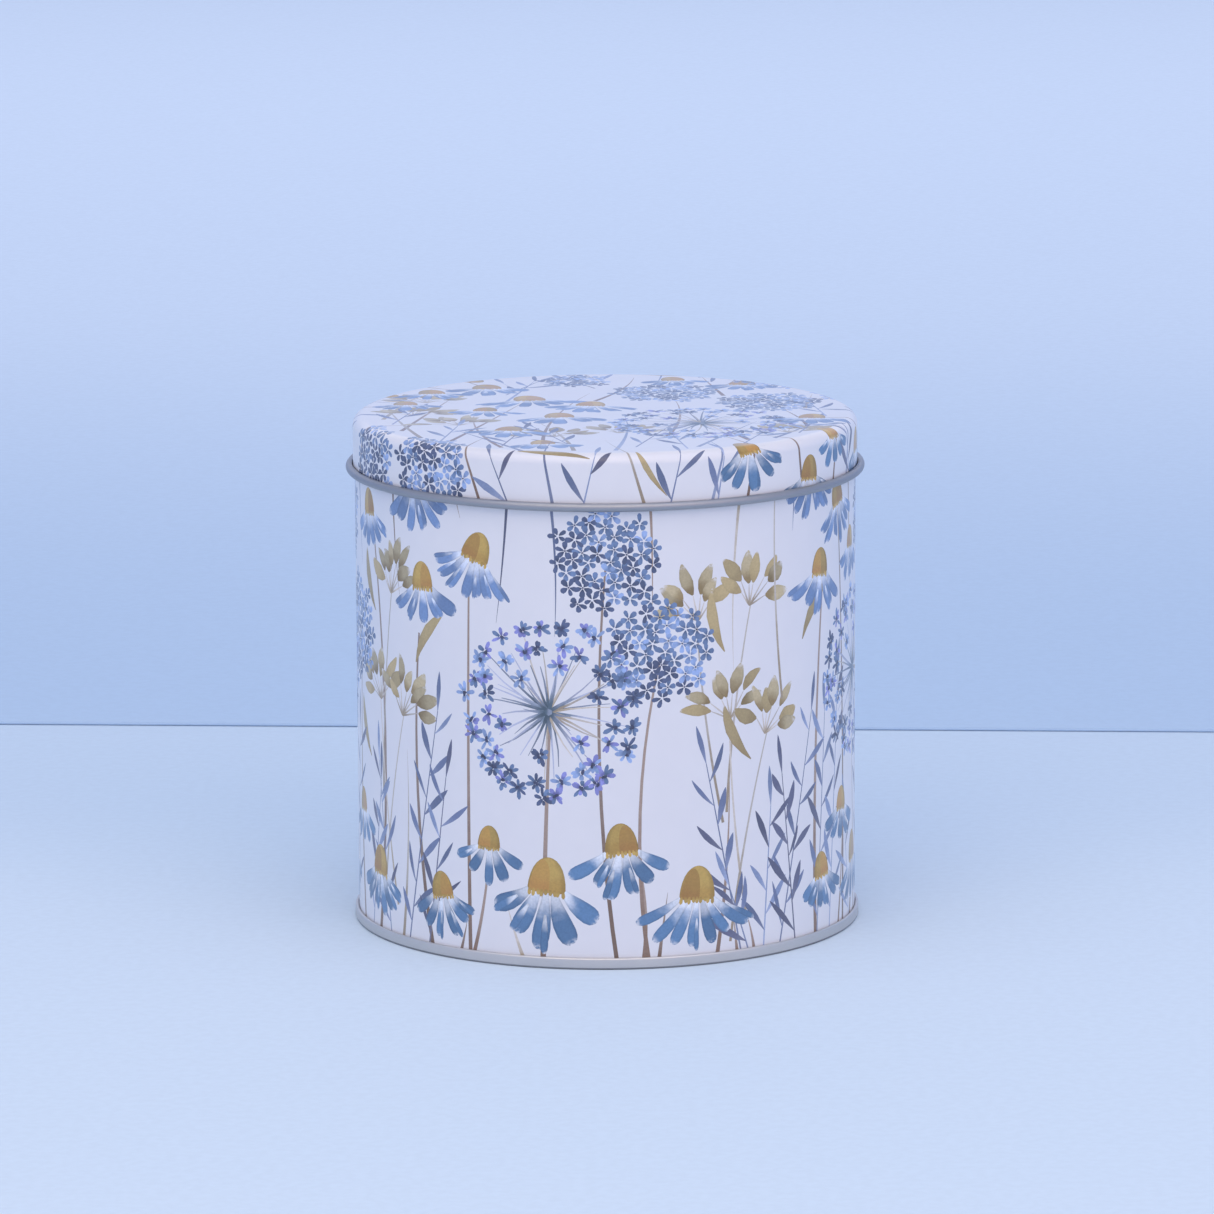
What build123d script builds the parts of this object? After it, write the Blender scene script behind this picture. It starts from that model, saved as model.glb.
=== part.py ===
from build123d import *
import math
import os

# A round tin with a slip lid, made of three pieces of thin tinplate: a rolled body wall, a bottom
# end that is double-seamed onto it, and a one-piece drawn lid. Millimetres, +Z up, origin at the
# centre of the ring that the tin stands on, +Y towards the back, where the body's side seam is.

# Driving dimensions
WALL_DIAMETER = 100.0     # outside of the straight body wall
OVERALL_HEIGHT = 102.0    # from the standing ring to the top of the lid
SHEET = 0.23              # tinplate thickness, the same in all three pieces
FOLD_GAP = 0.03           # air between the folded layers of the double seam

LID_HEIGHT = 11.2         # from the top panel to the lowest point of the lid's bead
LID_CLEARANCE = 0.12      # radial, between the body wall and the inside of the lid's skirt
SHOULDER_RADIUS = 2.2     # outside radius between the lid's top panel and its skirt
BEAD_RADIUS = 0.84        # outside radius of the wired bead's round section
BEAD_CURL = 300.0         # degrees of turn in the bead
SEAT_GAP = 0.05           # air left between the body's rim and the lid's shoulder

RIM_CURL_RADIUS = 1.1     # outside radius of the body's inward rim curl
RIM_CURL = 300.0          # degrees of turn in the rim curl

SEAM_HEIGHT = 2.3         # visible height of the double seam at the bottom
HOOK_OVERLAP_END = 0.12   # how far each hook stops short of the fold that holds it
FOOT_BEND = 0.3           # centreline radius of the two bends under the double seam
PANEL_HEIGHT = 3.4        # centreline height of the countersunk bottom panel's outer ring
PANEL_BEND = 0.6          # centreline radius where the countersink turns into the panel
STEP_RADIUS = 43.0        # where the bottom panel steps down, as a stiffening ring
STEP_BEND = 0.8           # centreline radius of the two bends in that step
STEP_ANGLE = 45.0         # slope of the step, in degrees
STEP_RUN = 0.3            # straight run between the two bends

SIDE_SEAM_WIDTH = 4.5     # width of the folded side seam, along the wall
SIDE_SEAM_LAYERS = 2      # extra sheets inside the wall at the side seam
SIDE_SEAM_END_GAP = 4.0   # the fold stops this far short of the rim curl and of the bottom panel
SIDE_SEAM_ROUND = 0.2     # rounding of the fold's long edges
CREASE_WIDTH = 0.3        # the side seam's crease, seen from outside
CREASE_DEPTH = 0.1

# Worked-out places
HALF_SHEET = SHEET / 2
LAYER_PITCH = SHEET + FOLD_GAP
WALL_RADIUS = WALL_DIAMETER / 2
WALL_LINE = WALL_RADIUS - HALF_SHEET                    # centreline radius of the body wall
COUNTERSINK_LINE = WALL_LINE - LAYER_PITCH              # the end's wall inside the body
END_HOOK_LINE = WALL_LINE + LAYER_PITCH                 # layers outside the body wall
BODY_HOOK_LINE = END_HOOK_LINE + LAYER_PITCH
SEAM_LINE = BODY_HOOK_LINE + LAYER_PITCH
BODY_FOLD_HEIGHT = SHEET + FOLD_GAP + HALF_SHEET + LAYER_PITCH    # centre of the body's fold
END_FOLD_HEIGHT = SEAM_HEIGHT - HALF_SHEET - LAYER_PITCH          # centre of the end's fold
FOOT_LEVEL = HALF_SHEET                                 # centreline of the sheet underfoot

SKIRT_LINE = WALL_RADIUS + LID_CLEARANCE + HALF_SHEET   # centreline radius of the lid's skirt
SHOULDER_BEND = SHOULDER_RADIUS - HALF_SHEET
SHOULDER_CENTRE_RADIUS = SKIRT_LINE - SHOULDER_BEND
SHOULDER_CENTRE_HEIGHT = OVERALL_HEIGHT - SHOULDER_RADIUS
BEAD_BEND = BEAD_RADIUS - HALF_SHEET
BEAD_HEIGHT = OVERALL_HEIGHT - LID_HEIGHT + BEAD_RADIUS

# The rim curl nests in the lid's shoulder: its centre is as high as the shoulder's inside lets it
RIM_BEND = RIM_CURL_RADIUS - HALF_SHEET
RIM_CENTRE_RADIUS = WALL_LINE - RIM_BEND
RIM_REACH = SHOULDER_RADIUS - SHEET - RIM_CURL_RADIUS - SEAT_GAP
RIM_CENTRE_HEIGHT = SHOULDER_CENTRE_HEIGHT + math.sqrt(
    RIM_REACH**2 - (RIM_CENTRE_RADIUS - SHOULDER_CENTRE_RADIUS) ** 2
)

UP = 90.0
DOWN = -90.0
OUTWARD = 0.0
HALF_TURN = 180.0
QUARTER_TURN = 90.0
FULL_TURN = 360.0


def polar(length, angle):
    """The (radius, height) step of a length at an angle in degrees."""
    turn = math.radians(angle)
    return length * math.cos(turn), length * math.sin(turn)


def offset_point(point, length, angle):
    """The point at a length and angle from another, in the radius-height plane."""
    step = polar(length, angle)
    return point[0] + step[0], point[1] + step[1]


def on_section(point):
    """A (radius, height) pair as a point of the section plane."""
    return Vector(point[0], 0, point[1])


def sheet_section(start, heading, steps):
    """The closed section of a sheet whose centreline runs straight and bends.

    Each step is ("run", length) or ("bend", centreline radius, degrees), where a positive bend
    turns to the left. The two faces of the sheet are the centreline moved half a thickness to
    each side, so a bend is a pair of arcs about one centre.
    """
    faces = {HALF_SHEET: [], -HALF_SHEET: []}
    point = start
    for step in steps:
        if step[0] == "run":
            end = offset_point(point, step[1], heading)
            for side, edges in faces.items():
                first = offset_point(point, side, heading + QUARTER_TURN)
                last = offset_point(end, side, heading + QUARTER_TURN)
                edges.append(Line(on_section(first), on_section(last)))
            point = end
        else:
            radius, turn = step[1], step[2]
            hand = math.copysign(QUARTER_TURN, turn)
            centre = offset_point(point, radius, heading + hand)
            for side, edges in faces.items():
                arc_radius = radius - math.copysign(side, side * turn)
                arc = [
                    on_section(offset_point(centre, arc_radius, heading - hand + turn * share))
                    for share in (0, 0.5, 1)
                ]
                edges.append(ThreePointArc(*arc))
            point = offset_point(centre, radius, heading - hand + turn)
            heading = heading + turn
    left, right = faces[HALF_SHEET], faces[-HALF_SHEET]
    start_cap = Line(left[0] @ 0, right[0] @ 0)
    end_cap = Line(left[-1] @ 1, right[-1] @ 1)
    return Face(Wire([*left, end_cap, *right, start_cap]))


def spun(section):
    """A section turned all the way round the tin's axis."""
    return revolve(section, axis=Axis.Z, revolution_arc=FULL_TURN)


def make_side_seam():
    """The folded side seam's extra layers, a low ridge inside the wall at the back."""
    inner = WALL_RADIUS - SHEET - SIDE_SEAM_LAYERS * SHEET
    outer = WALL_LINE
    low = PANEL_HEIGHT + SIDE_SEAM_END_GAP
    high = RIM_CENTRE_HEIGHT - RIM_CURL_RADIUS - SIDE_SEAM_END_GAP
    angle = math.degrees(SIDE_SEAM_WIDTH / WALL_RADIUS)
    corners = [(inner, low), (outer, low), (outer, high), (inner, high)]
    section = Face(Wire.make_polygon([on_section(c) for c in corners], close=True))
    ridge = revolve(section, axis=Axis.Z, revolution_arc=angle)
    inner_edges = ridge.edges().filter_by(Axis.Z).sort_by(lambda e: e.center().X**2 + e.center().Y**2)[:2]
    ridge = fillet(inner_edges, SIDE_SEAM_ROUND)
    return ridge.rotate(Axis.Z, QUARTER_TURN - angle / 2)


def make_crease():
    """The cutter for the fine crease that the side seam shows outside."""
    height = OVERALL_HEIGHT
    cutter = Box(CREASE_WIDTH, 2 * CREASE_DEPTH, height)
    low = SEAM_HEIGHT + SIDE_SEAM_END_GAP
    return cutter.translate((SIDE_SEAM_WIDTH / 2, WALL_RADIUS, low + height / 2))


def make_body_wall():
    """The rolled wall: hook and fold in the double seam, straight wall, rim curled inwards."""
    hook_tip = END_FOLD_HEIGHT - HOOK_OVERLAP_END
    section = sheet_section(
        (BODY_HOOK_LINE, hook_tip),
        DOWN,
        [
            ("run", hook_tip - BODY_FOLD_HEIGHT),
            ("bend", LAYER_PITCH, -HALF_TURN),
            ("run", RIM_CENTRE_HEIGHT - BODY_FOLD_HEIGHT),
            ("bend", RIM_BEND, RIM_CURL),
        ],
    )
    return spun(section) + make_side_seam() - make_crease()


def make_bottom_end():
    """The bottom end: hook, seaming wall, standing ring, countersink and stepped panel."""
    hook_tip = BODY_FOLD_HEIGHT + HOOK_OVERLAP_END
    foot_width = SEAM_LINE - COUNTERSINK_LINE - 2 * FOOT_BEND
    slope = math.radians(STEP_ANGLE)
    step_width = 2 * STEP_BEND * math.sin(slope) + STEP_RUN * math.cos(slope)
    section = sheet_section(
        (END_HOOK_LINE, hook_tip),
        UP,
        [
            ("run", END_FOLD_HEIGHT - hook_tip),
            ("bend", LAYER_PITCH, -HALF_TURN),
            ("run", END_FOLD_HEIGHT - FOOT_LEVEL - FOOT_BEND),
            ("bend", FOOT_BEND, -QUARTER_TURN),
            ("run", foot_width),
            ("bend", FOOT_BEND, -QUARTER_TURN),
            ("run", PANEL_HEIGHT - PANEL_BEND - FOOT_LEVEL - FOOT_BEND),
            ("bend", PANEL_BEND, QUARTER_TURN),
            ("run", COUNTERSINK_LINE - PANEL_BEND - STEP_RADIUS),
            ("bend", STEP_BEND, STEP_ANGLE),
            ("run", STEP_RUN),
            ("bend", STEP_BEND, -STEP_ANGLE),
            ("run", STEP_RADIUS - step_width),
        ],
    )
    return spun(section)


def make_lid():
    """The drawn lid: flat panel, rounded shoulder, short skirt, bead curled outwards."""
    section = sheet_section(
        (0, OVERALL_HEIGHT - HALF_SHEET),
        OUTWARD,
        [
            ("run", SHOULDER_CENTRE_RADIUS),
            ("bend", SHOULDER_BEND, -QUARTER_TURN),
            ("run", SHOULDER_CENTRE_HEIGHT - BEAD_HEIGHT),
            ("bend", BEAD_BEND, BEAD_CURL),
        ],
    )
    return spun(section)


PIECES = {
    "body_wall": make_body_wall,
    "bottom_end": make_bottom_end,
    "lid": make_lid,
}

os.makedirs("parts", exist_ok=True)
for name, make in PIECES.items():
    export_step(make(), f"parts/{name}.step")
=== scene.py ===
import math
import random
from collections import Counter, namedtuple

import bmesh
import bpy
import numpy as np
from mathutils import Matrix, Vector
from mathutils.geometry import delaunay_2d_cdt


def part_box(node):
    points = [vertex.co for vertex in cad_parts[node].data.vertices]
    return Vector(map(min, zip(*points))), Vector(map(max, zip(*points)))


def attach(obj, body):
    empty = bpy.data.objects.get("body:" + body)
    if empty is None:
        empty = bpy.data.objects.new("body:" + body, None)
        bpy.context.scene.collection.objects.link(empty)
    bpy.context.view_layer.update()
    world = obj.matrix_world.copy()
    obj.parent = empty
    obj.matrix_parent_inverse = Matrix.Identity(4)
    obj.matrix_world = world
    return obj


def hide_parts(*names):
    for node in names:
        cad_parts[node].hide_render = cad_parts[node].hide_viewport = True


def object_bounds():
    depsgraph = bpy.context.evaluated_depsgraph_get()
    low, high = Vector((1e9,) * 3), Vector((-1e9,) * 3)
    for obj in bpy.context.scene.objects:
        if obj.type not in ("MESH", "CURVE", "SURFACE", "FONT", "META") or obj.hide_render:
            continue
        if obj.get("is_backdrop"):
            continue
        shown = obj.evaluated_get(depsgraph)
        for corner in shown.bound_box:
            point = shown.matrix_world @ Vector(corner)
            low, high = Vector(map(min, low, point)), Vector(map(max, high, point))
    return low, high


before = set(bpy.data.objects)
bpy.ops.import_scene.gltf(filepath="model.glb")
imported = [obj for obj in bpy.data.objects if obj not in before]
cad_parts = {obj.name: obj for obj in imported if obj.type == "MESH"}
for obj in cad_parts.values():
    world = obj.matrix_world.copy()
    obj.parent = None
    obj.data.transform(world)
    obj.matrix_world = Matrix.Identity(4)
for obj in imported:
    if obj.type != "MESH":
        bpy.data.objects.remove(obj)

# The looks of a round printed tin with a slip lid. Each of its three pieces is one closed mesh of
# folded sheet. The wildflower print is part of the mesh: the flat sheet is cut along the outline
# of every brush mark, wrapped onto the tin, and each mark takes its own ink. The tin is drawn in
# millimetres and turned into metres as each piece is made.

cad_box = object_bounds()

MM = 0.001
TINY = 1e-4    # places and angles closer than this are the same

# Sheet metal, as in the CAD model
SHEET = 0.23
HALF_SHEET = SHEET / 2
LAYER_PITCH = SHEET + 0.03
SHOULDER_RADIUS = 2.2
BEAD_RADIUS = 0.84
BEAD_CURL = 300.0
LID_CLEARANCE = 0.12
SEAT_GAP = 0.05
RIM_CURL_RADIUS = 1.1
RIM_CURL = 300.0
SEAM_HEIGHT = 2.3
HOOK_OVERLAP_END = 0.12
FOOT_BEND = 0.3
PANEL_HEIGHT = 3.4
PANEL_BEND = 0.6
STEP_RADIUS = 43.0
STEP_BEND = 0.8
STEP_ANGLE = 45.0
STEP_RUN = 0.3
SIDE_SEAM_WIDTH = 4.5
SIDE_SEAM_HEIGHT = 2 * SHEET
SIDE_SEAM_END_GAP = 4.0
SIDE_SEAM_ROUND = 0.2
CREASE_WIDTH = 0.3
CREASE_DEPTH = 0.1

# Places that the frame gives
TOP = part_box("lid")[1].z / MM
BEAD_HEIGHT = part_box("lid")[0].z / MM + BEAD_RADIUS
WALL_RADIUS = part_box("body_wall")[1].x / MM - 2 * LAYER_PITCH
WALL_LINE = WALL_RADIUS - HALF_SHEET
BODY_FOLD_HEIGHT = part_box("body_wall")[0].z / MM + HALF_SHEET + LAYER_PITCH
END_FOLD_HEIGHT = SEAM_HEIGHT - HALF_SHEET - LAYER_PITCH
SKIRT_RADIUS = WALL_RADIUS + LID_CLEARANCE + SHEET
SHOULDER_CENTRE_RADIUS = SKIRT_RADIUS - SHOULDER_RADIUS
SHOULDER_CENTRE_HEIGHT = TOP - SHOULDER_RADIUS
RIM_BEND = RIM_CURL_RADIUS - HALF_SHEET
RIM_REACH = SHOULDER_RADIUS - SHEET - RIM_CURL_RADIUS - SEAT_GAP
RIM_CENTRE_HEIGHT = SHOULDER_CENTRE_HEIGHT + math.sqrt(
    RIM_REACH**2 - (WALL_LINE - RIM_BEND - SHOULDER_CENTRE_RADIUS) ** 2
)

UP, DOWN, OUTWARD = 90.0, -90.0, 0.0
QUARTER, HALF, FULL = 90.0, 180.0, 360.0

# How finely curved sheet is divided: degrees of a bend, steps round the plain and the printed
# sheet, and rows up the wall and over the lid's shoulder
BEND_STEP = 15.0
RING_STEPS = 180
PRINT_STEPS = 120
WALL_ROWS = 32
SHOULDER_STEPS = 8


def polar(length, angle):
    """The step of a length at an angle in degrees."""
    return length * math.cos(math.radians(angle)), length * math.sin(math.radians(angle))


# ---------------- folded sheet


def sheet_line(start, heading, steps):
    """Points along a bent sheet's centreline, as (radius, height, heading in degrees).

    Each step is ("run", length) or ("bend", radius, degrees), where positive turns to the left.
    """
    x, z = start
    line = [(x, z, heading)]
    for step in steps:
        if step[0] == "run":
            dx, dz = polar(step[1], heading)
            x, z = x + dx, z + dz
            line.append((x, z, heading))
            continue
        radius, turn = step[1:]
        hand = math.copysign(QUARTER, turn)
        dx, dz = polar(radius, heading + hand)
        centre_x, centre_z = x + dx, z + dz
        count = max(3, math.ceil(abs(turn) / BEND_STEP))
        for k in range(1, count + 1):
            now = heading + turn * k / count
            dx, dz = polar(radius, now - hand)
            x, z = centre_x + dx, centre_z + dz
            line.append((x, z, now))
        heading += turn
    return line


def face_of(line, side):
    """One face of a sheet: its centreline moved half a thickness to the left (1) or right (-1)."""
    face = []
    for x, z, heading in line:
        dx, dz = polar(side * HALF_SHEET, heading + QUARTER)
        face.append((x + dx, z + dz))
    return face


class Shell:
    """The points and faces of one piece, in millimetres."""

    def __init__(self):
        self.points = []
        self.faces = []
        self.finishes = []
        self.brush = []
        self.normals = []

    def point(self, x, y, z):
        """Adds a point and returns its number."""
        self.points.append((x, y, z))
        return len(self.points) - 1

    def face(self, corners, finish="tin", brush=None, normals=None):
        """A face; brush and normals hold one triple per corner, and zeros mean none is set."""
        blank = [(0.0, 0.0, 0.0)] * len(corners)
        self.faces.append(corners)
        self.finishes.append(finish)
        self.brush.extend(blank if brush is None else brush)
        self.normals.extend(blank if normals is None else normals)

    def ring(self, radius, height, angles):
        """Points round the axis, as (angle, point number), with the first one repeated a turn on."""
        row = []
        for angle in angles:
            x, y = polar(radius(angle) if callable(radius) else radius, angle)
            row.append((angle, self.point(x, y, height)))
        row.append((row[0][0] + FULL, row[0][1]))
        return row

    def join(self, first, second, finish="tin"):
        """Faces between two rows of (place, point number) that run side by side."""
        i = j = 0
        while i < len(first) - 1 or j < len(second) - 1:
            next_first = first[i + 1][0] if i + 1 < len(first) else math.inf
            next_second = second[j + 1][0] if j + 1 < len(second) else math.inf
            if abs(next_first - next_second) < TINY:
                self.face([first[i][1], first[i + 1][1], second[j + 1][1], second[j][1]], finish)
                i += 1
                j += 1
            elif next_first < next_second:
                self.face([first[i][1], first[i + 1][1], second[j][1]], finish)
                i += 1
            else:
                self.face([first[i][1], second[j + 1][1], second[j][1]], finish)
                j += 1

    def cap(self, ring, height):
        """A fan that closes a ring at the axis."""
        pole = self.point(0, 0, height)
        for (_, a), (_, b) in zip(ring, ring[1:]):
            self.face([a, b, pole])

    def spin(self, profile, angles, last, finish="tin"):
        """Rings through a profile's points, each joined to the last; one at the axis is a cap."""
        for radius, height in profile:
            if radius < TINY:
                self.cap(last, height)
                return None
            ring = self.ring(radius, height, angles)
            self.join(last, ring, finish)
            last = ring
        return last


# ---------------- brush marks

Mark = namedtuple("Mark", "outline spine widths ink tone")
NARROW = 0.42    # the half-width of a mark too fine to show a rim

# A brush is the share of its half-width that a mark has at each share of its length
STEM = tuple((k / 10, 1 - 0.055 * k) for k in range(11))
TAPER = tuple((k / 10, 1 - 0.094 * k) for k in range(11))
FINE = ((0, 0.7), (0.25, 1), (0.6, 0.85), (1, 0.3))
THORN = ((0, 1), (0.25, 0.7), (0.6, 0.4), (1, 0.1))
RAY = ((0, 1), (0.12, 0.72), (0.35, 0.5), (0.7, 0.36), (1, 0.2))
LEAF = ((0, 0.1), (0.18, 0.48), (0.4, 0.88), (0.6, 1), (0.78, 0.74), (0.92, 0.38), (1, 0.06))
PETAL = (
    (0, 0.28), (0.2, 0.56), (0.4, 0.82), (0.6, 0.97), (0.78, 1), (0.9, 0.86), (0.97, 0.58), (1, 0.28),
)
FLORET = ((0, 0.2), (0.42, 0.86), (0.8, 0.94), (1, 0.36))
DAB = ((0, 0.5), (0.4, 0.95), (0.75, 1), (1, 0.35))
SEED = ((0, 0.15), (0.15, 0.62), (0.38, 1), (0.6, 0.93), (0.8, 0.62), (0.93, 0.34), (1, 0.12))
DOME = (
    (0, 0.66), (0.04, 0.93), (0.12, 1), (0.3, 0.97), (0.5, 0.89), (0.68, 0.77),
    (0.82, 0.61), (0.92, 0.42), (0.98, 0.22), (1, 0.06),
)
DOT = ((0, 0.5), (0.5, 1), (1, 0.5))


class Pen:
    """Draws brush marks about a spot of the flat sheet, in its own millimetres."""

    def __init__(self, marks, onto, dice, size=1.0):
        self.marks = marks
        self.onto = onto
        self.dice = dice
        self.size = size

    def at(self, x, y, turn=0.0, size=1.0):
        """A pen at a spot of this one, turned anticlockwise by degrees and scaled."""
        cos, sin = polar(size, turn)

        def onto(px, py):
            return self.onto(x + cos * px - sin * py, y + sin * px + cos * py)

        return Pen(self.marks, onto, self.dice, self.size * size)

    def stroke(self, base, tip, half_width, brush, ink, bow=0.0):
        """One mark from base to tip; bow is how far it bends to the left, as a share of its length."""
        run_x, run_y = tip[0] - base[0], tip[1] - base[1]
        spine, left, right, widths = [], [], [], []
        for t, share in brush:
            reach = 4 * bow * t * (1 - t)
            x = base[0] + run_x * t - run_y * reach
            y = base[1] + run_y * t + run_x * reach
            slope = 4 * bow * (1 - 2 * t)
            way_x, way_y = run_x - run_y * slope, run_y + run_x * slope
            half = half_width * share / math.hypot(way_x, way_y)
            spine.append(self.onto(x, y))
            left.append(self.onto(x - way_y * half, y + way_x * half))
            right.append(self.onto(x + way_y * half, y - way_x * half))
            widths.append(half_width * share * self.size)
        outline = right + left[::-1]
        self.marks.append(Mark(outline, spine, widths, ink, self.dice.random()))


def floret(pen, ink, reach=1.9, half_width=0.54, petals=5):
    """A small flower seen from above, most of them with a dark eye."""
    start = pen.dice.uniform(0, FULL)
    for k in range(petals):
        turn = start + FULL * k / petals + pen.dice.uniform(-10, 10)
        length = reach * pen.dice.uniform(0.8, 1.12)
        base, tip = polar(0.14 * reach, turn), polar(length, turn)
        pen.stroke(base, tip, half_width * pen.dice.uniform(0.8, 1.15), FLORET, ink)
    if pen.dice.random() < 0.6:
        pen.stroke((-0.2, 0), (0.2, 0), 0.18, DOT, "eye")


def globe(pen, radius):
    """A dense round head of small flowers, darker low down on its left."""
    golden_angle = 137.5
    spacing = 2.85
    count = round(3.4 * (radius / spacing) ** 2)
    order = list(range(count))
    pen.dice.shuffle(order)
    for k in order:
        x, y = polar(radius * math.sqrt((k + 0.5) / count), golden_angle * k)
        x += pen.dice.uniform(-0.35, 0.35)
        y += pen.dice.uniform(-0.35, 0.35)
        light = (0.5 * x + 0.2 * y) / radius + pen.dice.uniform(-1, 1)
        ink = "navy" if light < -0.42 else "slate" if light < 0.4 else "periwinkle"
        floret(pen.at(x, y), ink)


def star(pen, reach=2.2):
    """A ragged starry flower of short dabs, light and dark, about a dark middle."""
    dice = pen.dice
    dabs = dice.choice((6, 7, 8))
    start = dice.uniform(0, FULL)
    inks = dice.choice(
        (("slate", "navy"), ("violet", "slate"), ("violet", "periwinkle"), ("periwinkle",))
    )
    for k in range(dabs):
        turn = start + FULL * k / dabs + dice.uniform(-14, 14)
        near, length = dice.uniform(0.1, 0.5), reach * dice.uniform(0.62, 1.1)
        base, tip = polar(near, turn), polar(length, turn + dice.uniform(-12, 12))
        pen.stroke(base, tip, dice.uniform(0.3, 0.48), DAB, dice.choice(inks))
    for _ in range(2):
        x, y = dice.uniform(-0.35, 0.35), dice.uniform(-0.35, 0.35)
        dx, dy = polar(0.42, dice.uniform(0, FULL))
        pen.stroke((x - dx, y - dy), (x + dx, y + dy), 0.32, DOT, "eye")


def umbel(pen, radius):
    """An open round head: rays from a dark hub, and starry flowers in three rings at their ends."""
    dice = pen.dice
    ends = []
    for flowers, near, far in ((28, 0.93, 1.03), (20, 0.72, 0.85), (6, 0.48, 0.6)):
        for k in range(flowers):
            turn = FULL * (k + 0.5 * near) / flowers + dice.uniform(-5, 5)
            ends.append((radius * dice.uniform(near, far), turn))
    for reach, turn in ends:
        if dice.random() < 0.8:
            ink = dice.choice(("ray", "ray", "hub", "straw"))
            tip = polar(reach * dice.uniform(0.72, 0.95), turn)
            pen.stroke((0, 0), tip, dice.uniform(0.3, 0.46), RAY, ink, dice.uniform(-0.06, 0.06))
    thorns = 9
    for k in range(thorns):
        turn = FULL * k / thorns + dice.uniform(-16, 16)
        reach = dice.uniform(0.15, 0.6) * radius
        pen.stroke((0, 0), polar(reach, turn), 0.42, THORN, "hub", dice.uniform(-0.06, 0.06))
    pen.stroke((-0.7, 0), (0.7, 0), 0.7, DOT, "hub")
    for reach, turn in ends:
        x, y = polar(reach, turn)
        star(pen.at(x, y))


def coneflower(pen, petals, shade, ink="petal", spread=57.0):
    """A drooping coneflower: petals hang from a high cone, shaded on its right (1) or left (-1)."""
    dice = pen.dice
    for k in range(petals):
        side = 2 * k / (petals - 1) - 1
        turn = DOWN + side * spread + dice.uniform(-5, 5)
        length = dice.uniform(6.3, 8.4) * (1 - 0.08 * abs(side))
        x, y = 2.3 * side, 0.5 - 0.6 * (1 - abs(side))
        dx, dy = polar(length, turn)
        bow = -0.06 * side + dice.uniform(-0.03, 0.03)
        half_width = 6.3 / petals * dice.uniform(0.85, 1.2)
        pen.stroke((x, y), (x + dx, y + dy), half_width, PETAL, ink, bow)
        if dice.random() < 0.5:
            dx, dy = polar(length * dice.uniform(1.0, 1.1), turn + dice.choice((-6, 6)))
            base, tip = (x + dx * 0.35, y + dy * 0.35), (x + dx, y + dy)
            pen.stroke(base, tip, half_width * 0.45, PETAL, ink)
    pen.stroke((0, 0), (0, 5.1), 2.75, DOME, "ochre")
    pen.stroke((1.15 * shade, 0.1), (0.7 * shade, 4.7), 1.45, DOME, "amber")
    for k in range(-4, 5):
        tip = (0.6 * k + dice.uniform(-0.2, 0.2), -0.2 - dice.uniform(0, 0.5))
        pen.stroke((0.6 * k, 0.5), tip, 0.26, DAB, "ochre")


def coneflowers(pen, spots, **look):
    """Coneflowers at (x, y, turn, size, petals) each."""
    for x, y, turn, size, petals in spots:
        coneflower(pen.at(x, y, turn, size), petals, 1 if turn > 0 else -1, **look)


def seed_head(pen, seeds=9, fan=72.0):
    """A fan of drop-shaped seeds on fine branches."""
    dice = pen.dice
    for k in range(seeds):
        turn = UP + fan * (1 - 2 * k / (seeds - 1)) + dice.uniform(-6, 6)
        near = dice.uniform(2.6, 5.2)
        length = dice.uniform(4.6, 6.6)
        base, tip = polar(near, turn), polar(near + length, turn + dice.uniform(-8, 8))
        pen.stroke((0, -1.5), base, 0.18, FINE, "straw")
        half_width = dice.uniform(1.0, 1.65)
        ink = dice.choice(("seed", "seed", "olive"))
        pen.stroke(base, tip, half_width, SEED, ink, dice.uniform(-0.12, 0.12))


def sprig(pen, height, lean, ink="leaf", spacing=4.8):
    """A thin stem with narrow leaves on alternate sides."""
    dice = pen.dice
    pen.stroke((0, 0), (lean, height), 0.2, STEM, ink)
    heading = math.degrees(math.atan2(height, lean))
    count = int(height / spacing)
    for k in range(1, count + 1):
        t = (k + dice.uniform(-0.25, 0.25)) / (count + 1)
        side = 1 if k % 2 else -1
        length = dice.uniform(6.5, 9.5) * (1.1 - 0.25 * t)
        turn = heading + side * dice.uniform(23, 46)
        dx, dy = polar(length, turn)
        base = (lean * t, height * t)
        tip = (base[0] + dx, base[1] + dy)
        shade = dice.choice((ink, "leaf", "mist", "shade"))
        pen.stroke(base, tip, dice.uniform(0.44, 0.8), LEAF, shade, side * dice.uniform(-0.03, 0.06))
    dx, dy = polar(8, heading + dice.uniform(-8, 8))
    pen.stroke((lean, height), (lean + dx, height + dy), 0.55, LEAF, ink)


def tapers(pen, half_width, start, stems):
    """Stems that thin out from one height, as (x, end height, lean, ink) each."""
    for x, end, lean, ink in stems:
        bow = pen.dice.uniform(-0.03, 0.03)
        pen.stroke((x, start), (x + lean, end), half_width, TAPER, ink, bow)


# ---------------- the print's layout


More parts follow.
